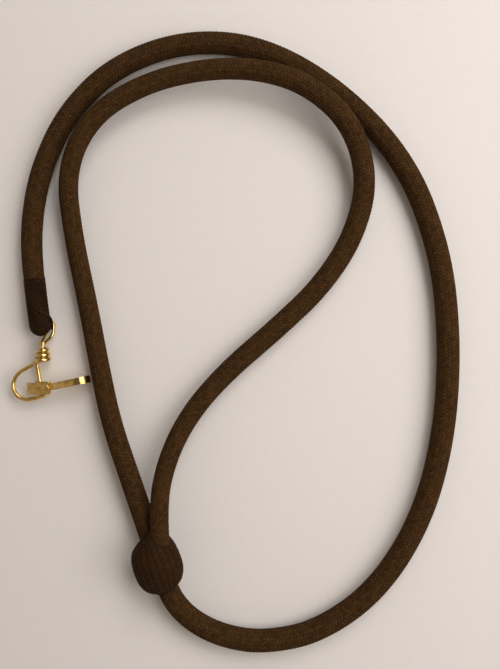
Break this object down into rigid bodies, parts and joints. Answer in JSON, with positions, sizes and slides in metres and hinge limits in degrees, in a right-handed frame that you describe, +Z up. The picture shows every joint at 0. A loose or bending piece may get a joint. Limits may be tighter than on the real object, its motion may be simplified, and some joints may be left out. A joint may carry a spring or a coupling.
{
  "type": "braided cord lead with slip loop and swivel snap",
  "caption": "Round braided cord lead with a slip loop through a braid-covered slide knob and a small brass wire swivel snap.",
  "frame": {"origin": "on the ground under the middle of the box around the slide knob and the snap", "axes": "+Y along the lead towards the top of the loop, +X to the loop's right side, +Z up from the ground it lies on"},
  "size_m": [0.1943, 0.2686, 0.0209],
  "materials": {
    "braided_cover": "fine braid",
    "cord_core": "soft yarn",
    "thread": "waxed thread",
    "knob_braid": "lengthwise braid",
    "bead": "plain",
    "brass": "polished, lightly aged"
  },
  "bodies": {
    "cord": {"rope_cover": "braided_cover", "rope_core": "cord_core", "loop_cover": "braided_cover", "loop_core": "cord_core", "end_eye": "thread", "whipping_thread": "thread"},
    "slide_knob": {"knob_core": "bead", "knob_cover": "knob_braid", "knob_mouth_binding": "thread", "knob_foot_binding": "thread"},
    "eye": {"swivel_eye": "brass"},
    "hook": {"hook_wire": "brass", "lever_sleeve": "brass", "lever_pin": "brass"},
    "bow": {"bow_wire": "brass"},
    "thumb_lever": {"lever": "brass"}
  },
  "joints": [
    {"name": "knob_slide", "type": "slide", "parent": "cord", "child": "slide_knob", "axis": [-0.3258, 0.9454, -0.0025], "range_m": [0, 0.038], "deforming": ["loop_cover", "loop_core"]},
    {"name": "eye_tilt", "type": "hinge", "parent": "cord", "child": "eye", "pos_m": [-0.0212, 0.0574, 0.0019], "axis": [1, 0, 0], "range_deg": [0, 90]},
    {"name": "hook_swivel", "type": "hinge", "parent": "eye", "child": "hook", "pos_m": [-0.0241, 0.0462, 0.0042], "axis": [0, 1, 0], "continuous": true},
    {"name": "lever_squeeze", "type": "hinge", "parent": "hook", "child": "thumb_lever", "pos_m": [-0.0219, 0.029, 0.0068], "axis": [0, 0, 1], "range_deg": [0, 20], "stiffness_Nm_per_rad": 0.02, "springref_deg": -2.86},
    {"name": "bow_opening", "type": "hinge", "parent": "hook", "child": "bow", "pos_m": [-0.0232, 0.0256, 0.0042], "axis": [0, 0, 1], "range_deg": [0, 20], "stiffness_Nm_per_rad": 0.02, "springref_deg": -2.86}
  ],
  "couplings": [
    {"joint": "bow_opening", "follows": "lever_squeeze", "ratio": 1}
  ]
}
